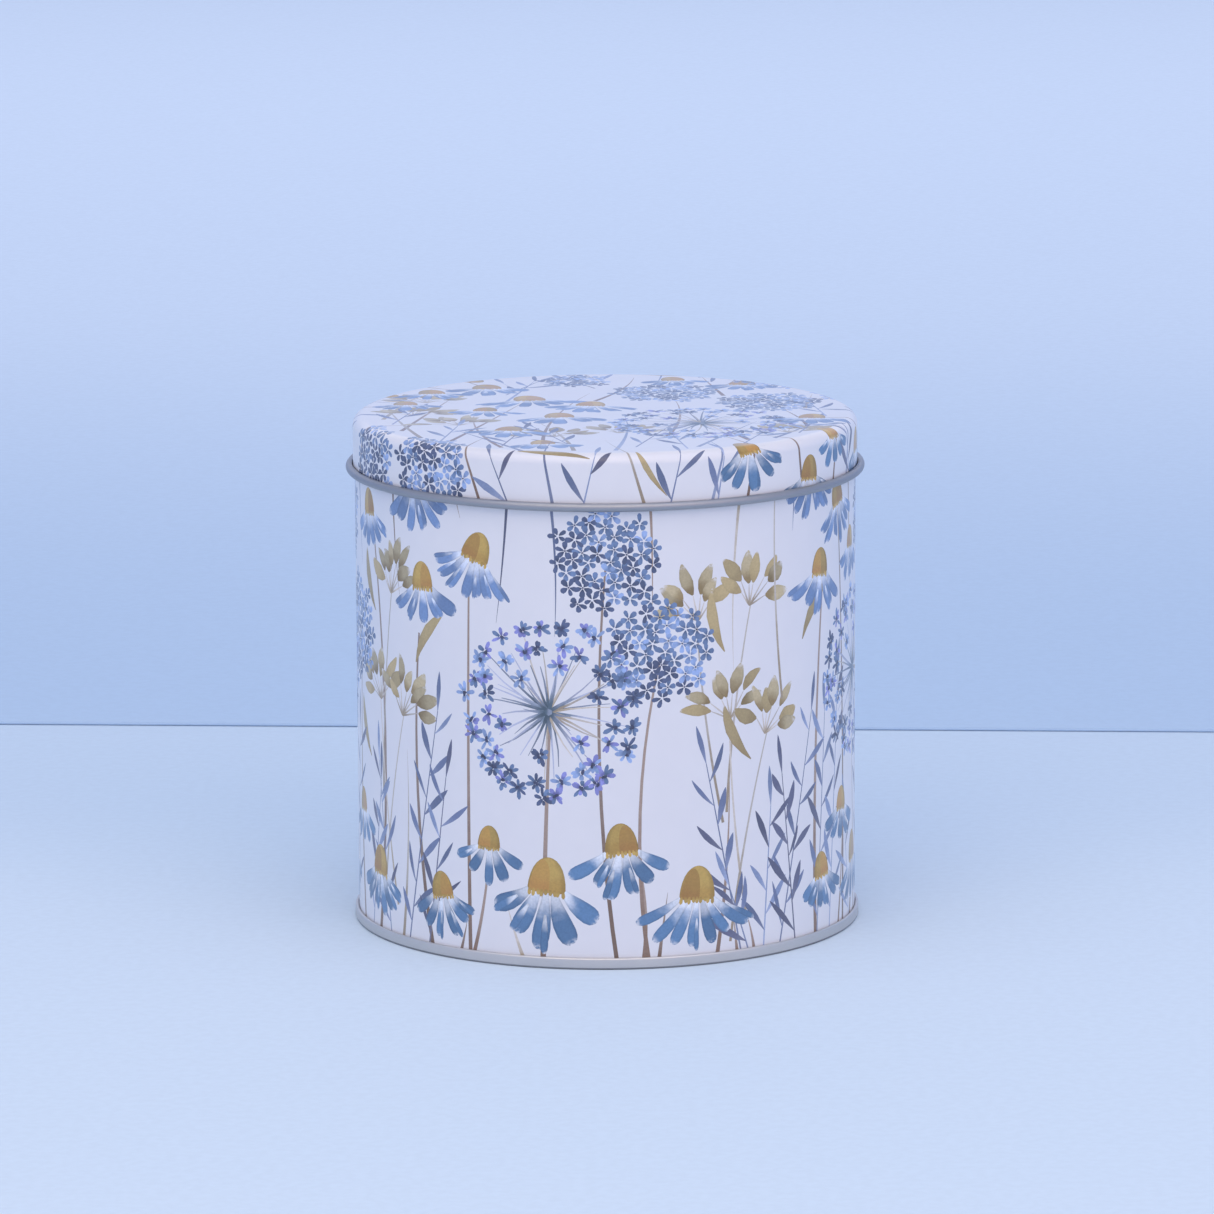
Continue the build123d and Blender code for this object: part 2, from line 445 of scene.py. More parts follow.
def meadow(pen):
    """Half the wall's print, about as wide as the wall's half turn, from the foot to the rim."""
    dice = pen.dice
    # stems behind everything, then thin ones down from under the lid and up from the foot
    for x, top in (
        (-66, 58), (-58, 84), (-41, 64), (-28, 78), (-24, 20), (0, 80), (6, 22), (10.7, 62),
        (-11, 50), (51, 72), (58, 86), (61, 22), (70, 20), (76, 62),
    ):
        lean = dice.uniform(-4, 4)
        half_width = dice.uniform(0.4, 0.58)
        bow = dice.uniform(-0.05, 0.05)
        pen.stroke((x + lean, 0), (x, top), half_width, STEM, "brown", bow)
    tapers(pen, 0.42, 102, (
        (-19, 68, -3, "shade"), (-12, 66, 2, "leaf"), (8, 70, 1, "brown"), (29, 58, -3, "straw"),
        (64, 62, 3, "brown"), (-49, 70, 2, "brown"), (-33, 88, 3, "brown"), (43, 84, -2, "leaf"),
        (72, 70, -3, "shade"), (-68, 74, 3, "leaf"), (-75, 66, -2, "brown"),
    ))
    tapers(pen, 0.46, 0, (
        (22, 40, 3, "brown"), (-16, 12, -4, "straw"), (31, 9, -2, "brown"), (-47, 40, 2, "straw"),
        (27, 9, -1, "brown"), (71, 50, -4, "brown"), (10, 15, 2, "brown"), (-31, 8, 2, "brown"),
    ))

    # seed heads and their leaves
    for x, y, turn in (
        (18, 70, 14), (30, 72, -14), (25, 50, 10), (34, 46, -22), (-50, 72, -10), (-55, 50, 16),
        (-46, 48, -20), (36, 93, 5),
    ):
        pen.stroke((x + 0.4 * turn, y - 42), (x, y - 1), 0.3, STEM, "straw", 0.02)
        seed_head(pen.at(x, y, turn), seeds=dice.choice((7, 8, 9)))
    for x, y, turn in (
        (30, 40, 28), (44, 62, -40), (-42, 58, -36), (-60, 36, 24), (24, 62, 12), (-57, 66, 20),
    ):
        dx, dy = polar(13, UP + turn)
        pen.stroke((x, y), (x + dx, y + dy), 1.2, LEAF, "olive", 0.09)

    # leafy sprigs
    for x, height, lean, ink in (
        (28, 40, -8, "leaf"), (33, 30, 2, "mist"), (37, 47, 10, "leaf"), (42, 36, -4, "shade"),
        (30, 15, -5, "mist"), (49, 46, 3, "mist"), (-45, 49, 9, "leaf"), (-51, 36, -5, "mist"),
        (-39, 36, 5, "shade"), (-60, 32, 5, "leaf"), (78, 38, -5, "leaf"), (-73, 40, 4, "shade"),
        (66, 24, -4, "mist"), (54, 52, 4, "mist"),
    ):
        sprig(pen.at(x, 0), height, lean, ink)

    # round heads
    umbel(pen.at(-11.3, 51), 17.5)
    umbel(pen.at(69, 52), 16)
    globe(pen.at(0, 81), 10.2)
    globe(pen.at(10.7, 63), 10.2)
    globe(pen.at(-68, 61), 10)
    globe(pen.at(79, 83), 9)

    # coneflowers: a low row, and a band under the lid
    coneflowers(pen, (
        (-35, 12, 8, 1.0, 6), (-24, 23, -3, 0.9, 5), (-12, 15, -5, 1.4, 5), (3, 23, 4, 1.2, 6),
        (18, 13, -3, 1.35, 7), (51, 13, 6, 1.0, 6), (60, 25, -3, 0.9, 5), (69, 13, 4, 1.15, 6),
        (-56, 13, -4, 1.15, 6), (-66, 24, 2, 0.9, 5), (-77, 12, 5, 1.05, 6),
    ))
    coneflowers(pen, (
        (-27, 80, -20, 1.15, 7), (-40, 73, 3, 1.05, 5), (-42, 92, 4, 1.15, 6), (50, 74, -4, 1.05, 5),
        (58, 87, 12, 1.0, 7), (47, 94, 0, 1.1, 6), (-60, 85, 6, 1.0, 6), (66, 77, 0, 0.85, 5),
    ), ink="sky", spread=52)


def skirt_border(pen):
    """Half the lid's skirt, from the bead up over the shoulder."""
    for x, height, lean, ink in (
        (-66, 26, 8, "brown"), (-25, 24, -9, "brown"), (-10, 26, -5, "leaf"), (8, 26, -8, "straw"),
        (21, 22, 6, "mist"), (29, 30, 6, "brown"), (44, 30, -4, "brown"), (55, 28, 5, "brown"),
        (62, 22, 4, "leaf"), (74, 26, -6, "brown"),
    ):
        pen.stroke((x, -1), (x + lean, height), 0.34, TAPER, ink)
    for x, height, lean, ink in (
        (-18, 12, -5, "leaf"), (-5, 13, 3, "mist"), (12, 13, 3, "leaf"),
        (22, 12, 2, "mist"), (65, 14, -3, "mist"), (77, 12, 3, "leaf"),
    ):
        sprig(pen.at(x, -3), height, lean, ink, 4.4)
    pen.stroke((-3, 9.5), (-18, 11), 0.9, LEAF, "olive", -0.05)
    pen.stroke((12, 2), (6, 12), 0.6, LEAF, "olive", 0.05)
    globe(pen.at(-58, 4), 8.5)
    globe(pen.at(-38, 5), 9.5)
    coneflowers(pen, (
        (30, 9, 8, 0.95, 5), (46, 2, -4, 0.95, 6), (56, 9, 3, 0.8, 5), (71, 4, 0, 0.9, 6),
    ))


def lid_panel(pen):
    """The lid's flat top, upright as seen from the front."""
    dice = pen.dice
    for foot, top, ink in (
        ((-30, -34), (-16, 14), "brown"), ((-12, -44), (-3, 24), "brown"),
        ((-40, -22), (-30, 22), "brown"), ((2, -46), (4, -6), "mist"), ((28, -34), (22, -16), "brown"),
        ((40, -20), (35, 4), "brown"), ((12, -30), (14, 16), "brown"), ((-36, -30), (-44, 10), "straw"),
        ((-20, -42), (-26, -2), "brown"), ((-44, -8), (-34, 34), "straw"),
        ((-6, -46), (-14, -10), "straw"), ((18, -42), (30, -12), "mist"), ((33, -32), (44, -4), "leaf"),
        ((-2, 14), (6, 44), "brown"), ((-22, 4), (-14, 42), "mist"), ((24, 20), (20, 44), "brown"),
        ((40, 4), (42, 22), "straw"), ((-16, -46), (-30, -20), "leaf"),
    ):
        pen.stroke(foot, top, 0.46, TAPER, ink, dice.uniform(-0.05, 0.05))
    for x, y, turn in (
        (-29, -14, 14), (-38, -2, -6), (-10, -28, 10), (-36, 14, 8), (3, -24, -14), (36, -24, -8),
    ):
        seed_head(pen.at(x, y, turn))
    for x, y, height, lean, ink in (
        (-6, -42, 24, -8, "leaf"), (6, -42, 22, 6, "leaf"), (-20, -40, 20, 4, "shade"),
        (-32, -34, 18, 3, "mist"), (-20, 22, 16, 6, "leaf"), (-2, 30, 12, -6, "shade"),
        (38, -26, 16, 4, "leaf"), (16, -44, 18, -3, "mist"), (27, -38, 16, 5, "leaf"),
        (-42, -14, 18, 4, "leaf"), (44, -6, 18, -3, "mist"),
    ):
        sprig(pen.at(x, y), height, lean, ink)
    umbel(pen.at(19, -14), 17)
    globe(pen.at(12, 24), 10.5)
    globe(pen.at(33, 12), 10.5)
    globe(pen.at(-6, 40), 7)
    coneflowers(pen, (
        (-15, 15, 10, 1.2, 6), (-3, 8, -6, 1.1, 6), (-24, 30, 4, 1.1, 5), (-35, 24, 8, 1.0, 6),
        (-9, -6, 4, 1.1, 5), (28, 34, -5, 1.0, 6), (41, -8, -4, 1.0, 5), (-19, -22, -8, 1.0, 5),
        (-40, 10, 4, 0.9, 5), (-24, 2, -4, 0.9, 6), (14, 40, 6, 0.9, 5), (-12, -38, 5, 0.9, 5),
    ), ink="sky")


# ---------------- printed sheet onto the tin


def has_spine(mark):
    """Wide marks keep their spine as an edge, if their ink's rim differs from its middle."""
    return INKS[mark.ink].rim < 1 and max(mark.widths) > NARROW


def brush_values(mark, spots):
    """For points on a mark: how far along it, how far out to its edge, and the mark's own tone."""
    spine = np.array(mark.spine)
    widths = np.maximum(np.array(mark.widths), 0.05)
    runs = spine[1:] - spine[:-1]
    lengths = np.hypot(runs[:, 0], runs[:, 1])
    travelled = np.concatenate(([0], np.cumsum(lengths)))
    offsets = spots[:, None, :] - spine[None, :-1, :]
    t = np.clip((offsets * runs).sum(2) / (lengths**2), 0, 1)
    misses = offsets - t[..., None] * runs
    distances = np.hypot(misses[..., 0], misses[..., 1])
    rows = np.arange(len(spots))
    nearest = distances.argmin(1)
    share = t[rows, nearest]
    along = (travelled[nearest] + share * lengths[nearest]) / travelled[-1]
    half = widths[nearest] + share * (widths[nearest + 1] - widths[nearest])
    across = np.clip(distances[rows, nearest] / half, 0, 1) if has_spine(mark) else 0 * along
    return np.column_stack((along, across, np.full(len(spots), mark.tone)))


def lay_print(shell, marks, border, guides, printable, wrap):
    """Cuts a flat sheet along its marks and guide lines and wraps it onto the tin.

    A guide of one point only adds that point. Returns the flat place of each point on the sheet's
    edge, with its number in the shell.
    """
    flat, edges, polygons = [], [], []

    def add(points, closed):
        first = len(flat)
        flat.extend(points)
        count = len(points)
        if closed:
            polygons.append(list(range(first, first + count)))
        else:
            edges.extend((first + k, first + k + 1) for k in range(count - 1))

    add(border, True)
    for mark in marks:
        add(mark.outline, True)
    for mark in marks:
        if has_spine(mark):
            add(mark.spine[1:-1], False)
    for guide in guides:
        add(guide, False)
    # triangles, each with the polygons that cover it: the border is the first, then the marks
    cut = delaunay_2d_cdt([Vector(p) for p in flat], edges, polygons, 0, 1e-6, True)
    places, triangles, sources = np.array([tuple(p) for p in cut[0]]), cut[2], cut[5]
    kept = [(tri, max(source)) for tri, source in zip(triangles, sources) if 0 in source]

    numbers = {}
    uses = Counter()
    for tri, _ in kept:
        for corner, following in zip(tri, tri[1:] + tri[:1]):
            numbers.setdefault(corner, len(numbers))
            uses[frozenset((corner, following))] += 1
    rim = sorted({corner for pair, count in uses.items() if count == 1 for corner in pair})
    used = np.array(list(numbers))
    points, normals = wrap(places[used])
    first = len(shell.points)
    shell.points.extend(map(tuple, points))

    by_mark = {}
    for row, (tri, top) in enumerate(kept):
        middle = places[list(tri)].mean(0)
        if top and printable(middle):
            by_mark.setdefault(top, []).append(row)
    brush = np.zeros((len(kept), 3, 3))
    inks = ["ground"] * len(kept)
    for top, rows in by_mark.items():
        mark = marks[top - 1]
        corners = places[np.array([kept[row][0] for row in rows]).ravel()]
        brush[rows] = brush_values(mark, corners).reshape(-1, 3, 3)
        for row in rows:
            inks[row] = mark.ink
    for row, (tri, _) in enumerate(kept):
        corners = [numbers[corner] for corner in tri]
        facing = normals[corners].tolist()
        shell.face([first + c for c in corners], inks[row], brush[row].tolist(), facing)
    return [(places[corner], first + numbers[corner]) for corner in rim]


def edge_row(flat_points, on_edge, place):
    """The sheet's points on one edge, as (place along it, point number) in order."""
    return sorted((place(p), number) for p, number in flat_points if on_edge(p))


# ---------------- materials

GROUND = (0.79, 0.79, 0.82)

# An ink's colour where the brush is put down and at the mark's end, the share of the mark's length
# that frays, and how bright the rim of the mark is beside its middle
Ink = namedtuple("Ink", "start end fray rim")
INKS = {
    "petal": Ink((0.72, 0.76, 0.82), (0.10, 0.21, 0.38), 0.12, 0.78),
    "sky": Ink((0.70, 0.75, 0.84), (0.16, 0.26, 0.47), 0.12, 0.8),
    "ochre": Ink((0.45, 0.28, 0.065), (0.51, 0.345, 0.09), 0.0, 0.72),
    "amber": Ink((0.43, 0.225, 0.055), (0.46, 0.27, 0.065), 0.0, 1.0),
    "brown": Ink((0.22, 0.145, 0.105), (0.33, 0.25, 0.205), 0.0, 1.0),
    "navy": Ink((0.05, 0.07, 0.14), (0.08, 0.11, 0.21), 0.0, 1.0),
    "slate": Ink((0.09, 0.14, 0.25), (0.14, 0.22, 0.39), 0.0, 1.0),
    "periwinkle": Ink((0.18, 0.27, 0.47), (0.29, 0.41, 0.68), 0.1, 1.0),
    "violet": Ink((0.14, 0.15, 0.38), (0.25, 0.27, 0.62), 0.0, 1.0),
    "eye": Ink((0.04, 0.045, 0.09), (0.05, 0.06, 0.12), 0.0, 1.0),
    "hub": Ink((0.07, 0.11, 0.15), (0.22, 0.26, 0.34), 0.0, 1.0),
    "ray": Ink((0.14, 0.19, 0.25), (0.44, 0.47, 0.60), 0.0, 1.0),
    "seed": Ink((0.27, 0.195, 0.085), (0.49, 0.41, 0.245), 0.25, 0.88),
    "olive": Ink((0.38, 0.29, 0.14), (0.46, 0.36, 0.18), 0.1, 0.88),
    "straw": Ink((0.38, 0.31, 0.22), (0.56, 0.51, 0.45), 0.0, 1.0),
    "leaf": Ink((0.22, 0.26, 0.40), (0.14, 0.18, 0.31), 0.0, 1.0),
    "mist": Ink((0.33, 0.39, 0.56), (0.21, 0.27, 0.43), 0.0, 1.0),
    "shade": Ink((0.15, 0.16, 0.24), (0.11, 0.12, 0.20), 0.0, 1.0),
}


def node(tree, kind, links=None, **settings):
    """Adds a node; links maps its sockets to other sockets or to plain values."""
    made = tree.nodes.new(kind)
    for key, value in settings.items():
        setattr(made, key, value)
    for key, value in (links or {}).items():
        if isinstance(value, bpy.types.NodeSocket):
            tree.links.new(value, made.inputs[key])
        else:
            made.inputs[key].default_value = value
    return made


def maths(tree, operation, *values):
    return node(tree, "ShaderNodeMath", dict(enumerate(values)), operation=operation).outputs[0]


def ramp(tree, value, low, high, to_low=0.0, to_high=1.0):
    """A smooth step from one value to another."""
    links = {"Value": value, "From Min": low, "From Max": high, "To Min": to_low, "To Max": to_high}
    return node(tree, "ShaderNodeMapRange", links, interpolation_type="SMOOTHSTEP").outputs[0]


def noise(tree, scale, detail=2.0, stretch=(1.0, 1.0, 1.0)):
    """Noise on the piece itself, at a scale in cells per metre."""
    place = node(tree, "ShaderNodeTexCoord").outputs["Object"]
    place = node(tree, "ShaderNodeMapping", {"Vector": place, "Scale": stretch}).outputs[0]
    links = {"Vector": place, "Scale": scale, "Detail": detail}
    return node(tree, "ShaderNodeTexNoise", links).outputs[0]


def mixed(tree, share, a, b):
    """A mix of two colours."""
    return node(tree, "ShaderNodeMix", {0: share, 6: a, 7: b}, data_type="RGBA").outputs[2]


def brightened(tree, colour, value):
    """A colour times a number."""
    links = {0: colour, "Scale": value}
    return node(tree, "ShaderNodeVectorMath", links, operation="SCALE").outputs[0]


def new_group(name, sockets_in, sockets_out):
    tree = bpy.data.node_groups.new(name, "ShaderNodeTree")
    for way, sockets in (("INPUT", sockets_in), ("OUTPUT", sockets_out)):
        for label, kind in sockets.items():
            tree.interface.new_socket(label, in_out=way, socket_type=kind)
    return tree, tree.nodes.new("NodeGroupInput"), tree.nodes.new("NodeGroupOutput")


def watercolour_group():
    """A brush mark's colour: it flows along the mark, pools at its edge, grains and frays."""
    tint, number = "NodeSocketColor", "NodeSocketFloat"
    sockets_in = {"Start": tint, "End": tint, "Fray": number, "Rim": number}
    tree, inward, outward = new_group("watercolour", sockets_in, {"Color": tint})
    brush = node(tree, "ShaderNodeAttribute", attribute_name="brush").outputs["Vector"]
    along, across, tone = node(tree, "ShaderNodeSeparateXYZ", {0: brush}).outputs
    blot = maths(tree, "MULTIPLY_ADD", noise(tree, 420, 3.0), 0.5, -0.25)
    flow = maths(tree, "ADD", blot, along)
    colour = mixed(tree, ramp(tree, flow, 0.1, 0.55), inward.outputs["Start"], inward.outputs["End"])
    pool = ramp(tree, across, 0.6, 1.0, 1.0, inward.outputs["Rim"])
    strength = ramp(tree, tone, 0.0, 1.0, 0.84, 1.18)
    grain = ramp(tree, noise(tree, 2400), 0.25, 0.75, 0.93, 1.07)
    value = maths(tree, "MULTIPLY", maths(tree, "MULTIPLY", pool, strength), grain)
    colour = brightened(tree, colour, value)
    start = maths(tree, "SUBTRACT", 1.0, inward.outputs["Fray"])
    edge = ramp(tree, along, start, 1.02)
    patch = ramp(tree, noise(tree, 1500, 3.0), 0.35, 0.62)
    colour = mixed(tree, maths(tree, "MULTIPLY", edge, patch), colour, (*GROUND, 1))
    tree.links.new(colour, outward.inputs[0])
    return tree


def varnish_group():
    """The satin varnish over the print: faint orange peel and slightly uneven gloss."""
    sockets_out = {"Roughness": "NodeSocketFloat", "Normal": "NodeSocketVector"}
    tree, _, outward = new_group("varnish", {}, sockets_out)
    roughness = ramp(tree, noise(tree, 160, 4.0), 0.3, 0.7, 0.33, 0.42)
    links = {"Height": noise(tree, 1100), "Strength": 0.12, "Distance": 0.00002}
    bump = node(tree, "ShaderNodeBump", links)
    tree.links.new(roughness, outward.inputs[0])
    tree.links.new(bump.outputs[0], outward.inputs[1])
    return tree


def new_material(name):
    material = bpy.data.materials.new(name)
    material.use_nodes = True
    tree = material.node_tree
    tree.nodes.clear()
    shader = node(tree, "ShaderNodeBsdfPrincipled")
    output = node(tree, "ShaderNodeOutputMaterial")
    tree.links.new(shader.outputs[0], output.inputs[0])
    return material, tree, shader


def coat_with(tree, shader, varnish):
    """Puts the varnish over a printed colour."""
    shader.inputs["Coat Weight"].default_value = 0.6
    shader.inputs["Coat Roughness"].default_value = 0.22
    group = node(tree, "ShaderNodeGroup", node_tree=varnish)
    for name in ("Roughness", "Normal"):
        tree.links.new(group.outputs[name], shader.inputs[name])


def ground_material(varnish):
    """The white ground coat, very slightly uneven."""
    material, tree, shader = new_material("ground")
    dull = tuple(0.955 * c for c in GROUND)
    colour = mixed(tree, noise(tree, 220, 4.0), (*dull, 1), (*GROUND, 1))
    tree.links.new(colour, shader.inputs["Base Color"])
    coat_with(tree, shader, varnish)
    return material


def ink_material(name, watercolour, varnish):
    """One ink of the print."""
    ink = INKS[name]
    material, tree, shader = new_material(name)
    links = {"Start": (*ink.start, 1), "End": (*ink.end, 1), "Fray": ink.fray, "Rim": ink.rim}
    group = node(tree, "ShaderNodeGroup", links, node_tree=watercolour)
    tree.links.new(group.outputs[0], shader.inputs["Base Color"])
    coat_with(tree, shader, varnish)
    return material


def tin_material(name, grey):
    """Bare tinplate: soft grey metal, rubbed along its length by the folding rolls."""
    material, tree, shader = new_material(name)
    shader.inputs["Metallic"].default_value = 1.0
    rubbed = noise(tree, 700, 3.0, (1.0, 1.0, 6.0))
    cloudy = noise(tree, 90, 4.0)
    dull = tuple(0.88 * c for c in grey)
    colour = mixed(tree, cloudy, (*dull, 1), (*grey, 1))
    tree.links.new(colour, shader.inputs["Base Color"])
    streaks = ramp(tree, rubbed, 0.3, 0.7, 0.0, 0.1)
    roughness = maths(tree, "ADD", streaks, ramp(tree, cloudy, 0.3, 0.7, 0.38, 0.46))
    tree.links.new(roughness, shader.inputs["Roughness"])
    bump = node(tree, "ShaderNodeBump", {"Height": rubbed, "Strength": 0.15, "Distance": 0.00001})
    tree.links.new(bump.outputs[0], shader.inputs["Normal"])
    return material


# ---------------- pieces


def place_object(name, data):
    """Puts a mesh, a light or a camera into the scene."""
    placed = bpy.data.objects.new(name, data)
    bpy.context.scene.collection.objects.link(placed)
    return placed


def make_object(name, shell, materials, body, slot, *nodes):
    """Turns a shell into a piece that stands for CAD nodes and rides on a body."""
    mesh = bpy.data.meshes.new(name)
    mesh.from_pydata((np.array(shell.points) * MM).tolist(), [], shell.faces)
    finishes = sorted(set(shell.finishes))
    for finish in finishes:
        mesh.materials.append(materials[finish])
    mesh.polygons.foreach_set("material_index", [finishes.index(f) for f in shell.finishes])
    mesh.polygons.foreach_set("use_smooth", [True] * len(shell.faces))
    # the normals ride along as an attribute, since turning a face round reorders its corners
    for label, values in (("brush", shell.brush), ("normals", shell.normals)):
        attribute = mesh.attributes.new(label, "FLOAT_VECTOR", "CORNER")
        attribute.data.foreach_set("vector", np.array(values, np.float32).ravel())
    form = bmesh.new()
    form.from_mesh(mesh)
    bmesh.ops.recalc_face_normals(form, faces=form.faces)
    form.to_mesh(mesh)
    form.free()
    sharp = math.radians(40)
    mesh.set_sharp_from_angle(angle=sharp)
    normals = np.zeros(len(mesh.loops) * 3, np.float32)
    mesh.attributes["normals"].data.foreach_get("vector", normals)
    mesh.attributes.remove(mesh.attributes["normals"])
    mesh.normals_split_custom_set(normals.reshape(-1, 3).tolist())
    piece = place_object(name, mesh)
    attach(piece, body)
    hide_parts(*nodes)


def even_angles(start, count):
    return [start + FULL * k / count for k in range(count)]


def make_wall(materials):
    """The printed wall with its rim curl, inner face, side seam and lower hook."""
    hook_tip = END_FOLD_HEIGHT - HOOK_OVERLAP_END
    line = sheet_line((WALL_LINE + 2 * LAYER_PITCH, hook_tip), DOWN, (
        ("run", hook_tip - BODY_FOLD_HEIGHT),
        ("bend", LAYER_PITCH, -HALF),
        ("run", RIM_CENTRE_HEIGHT - BODY_FOLD_HEIGHT),
        ("bend", RIM_BEND, RIM_CURL),
    ))
    outside, inside = face_of(line, -1), face_of(line, 1)
    low = max(
        k for k, (radius, height) in enumerate(outside)
        if height < BODY_FOLD_HEIGHT + TINY and radius < WALL_RADIUS + TINY
    )
    high = low + 1

    # the flat sheet: x runs round the tin from its front, y is the height
    cut = math.degrees(math.acos(SIDE_SEAM_WIDTH / 2 / WALL_RADIUS))
    crease = math.degrees(CREASE_WIDTH / WALL_RADIUS)
    per_degree = math.radians(WALL_RADIUS)
    start = (cut + crease / 2 + QUARTER - FULL) * per_degree
    end = (cut - crease / 2 + QUARTER) * per_degree
    foot, rim = BODY_FOLD_HEIGHT, RIM_CENTRE_HEIGHT
    bare_strip = 0.9
    columns = [start + (end - start) * k / PRINT_STEPS for k in range(PRINT_STEPS + 1)]
    rows = [foot + (rim - foot) * k / WALL_ROWS for k in range(WALL_ROWS + 1)]
    border = [(x, foot) for x in columns] + [(x, rim) for x in reversed(columns)]
    guides = [[(x, foot), (x, rim)] for x in (start + bare_strip, end - bare_strip)]
    guides += [[(x, y)] for x in columns[1:-1] for y in rows[1:-1]]

    def wrap(flat):
        turn = np.radians(flat[:, 0] / per_degree - QUARTER)
        cos, sin = np.cos(turn), np.sin(turn)
        points = np.column_stack((WALL_RADIUS * cos, WALL_RADIUS * sin, flat[:, 1]))
        return points, np.column_stack((cos, sin, np.zeros(len(flat))))

    marks = []
    half_turn = HALF * per_degree
    dice = random.Random(5)
    for centre in (0, half_turn, -half_turn):
        meadow(Pen(marks, lambda x, y: (x, y), dice).at(centre, 0))
    marks = [m for m in marks if max(m.outline)[0] > start and min(m.outline)[0] < end]

    def printable(place):
        return start + bare_strip < place[0] < end - bare_strip

    shell = Shell()
    flat_points = lay_print(shell, marks, border, guides, printable, wrap)

    # the crease at the back closes the sheet into a tube
    def up_edge(x):
        return edge_row(flat_points, lambda p: abs(p[0] - x) < TINY, lambda p: p[1])

    trough = []
    crease_low = SEAM_HEIGHT + SIDE_SEAM_END_GAP
    for height in (foot, crease_low, crease_low + 1, rim):
        depth = CREASE_DEPTH if height > crease_low else 0
        x, y = polar(WALL_RADIUS - depth, cut)
        trough.append((height, shell.point(x, y, height)))
    shell.join(up_edge(start), trough)
    shell.join(up_edge(end), trough)

    def level_edge(y):
        row = edge_row(
            flat_points, lambda p: abs(p[1] - y) < TINY, lambda p: p[0] / per_degree - QUARTER
        )
        closing = trough[0] if y == foot else trough[-1]
        row.append((cut, closing[1]))
        row.append((row[0][0] + FULL, row[0][1]))
        return row

    # rim curl, then down the inside with the side seam's ridge, the fold and the hook
    angles = even_angles(cut + crease / 2 - FULL, RING_STEPS)
    curl = outside[high + 1:] + inside[:high:-1]
    last = shell.spin(curl, angles, level_edge(rim))
    last = add_side_seam(shell, last, angles)
    shell.join(shell.spin(inside[low::-1] + outside[:low], angles, last), level_edge(foot))
    make_object("printed_wall", shell, materials, "tin_body", "printed_tinplate", "body_wall")


def add_side_seam(shell, last, angles):
    """The wall's inner face, with the folded side seam as a low ridge at the back."""
    inner = WALL_RADIUS - SHEET
    half = math.degrees(SIDE_SEAM_WIDTH / 2 / inner)
    rounding = math.degrees(SIDE_SEAM_ROUND / inner)
    profile = {}
    # each long edge, as (roundings outwards, share of the ridge's height)
    for side in (-1, 1):
        for out, rise in ((0.5, 0), (0, 0.3), (-0.4, 0.75), (-1.2, 1)):
            profile[QUARTER + side * (half + rounding * out) - FULL] = SIDE_SEAM_HEIGHT * rise
    low, high = min(profile) - 1, max(profile) + 1
    seam_angles = [a for a in angles if not low < (a + FULL) % FULL - FULL < high]
    seam_angles = sorted(seam_angles + [a if a > angles[0] else a + FULL for a in profile])

    def ridge(angle):
        return inner - profile.get(angle, profile.get(angle - FULL, 0))

    top = RIM_CENTRE_HEIGHT - RIM_CURL_RADIUS - SIDE_SEAM_END_GAP
    bottom = PANEL_HEIGHT + SIDE_SEAM_END_GAP
    for height, radius in ((top + 0.4, inner), (top, ridge), (bottom, ridge), (bottom - 0.4, inner)):
        ring = shell.ring(radius, height, seam_angles)
        shell.join(last, ring)
        last = ring
    return last


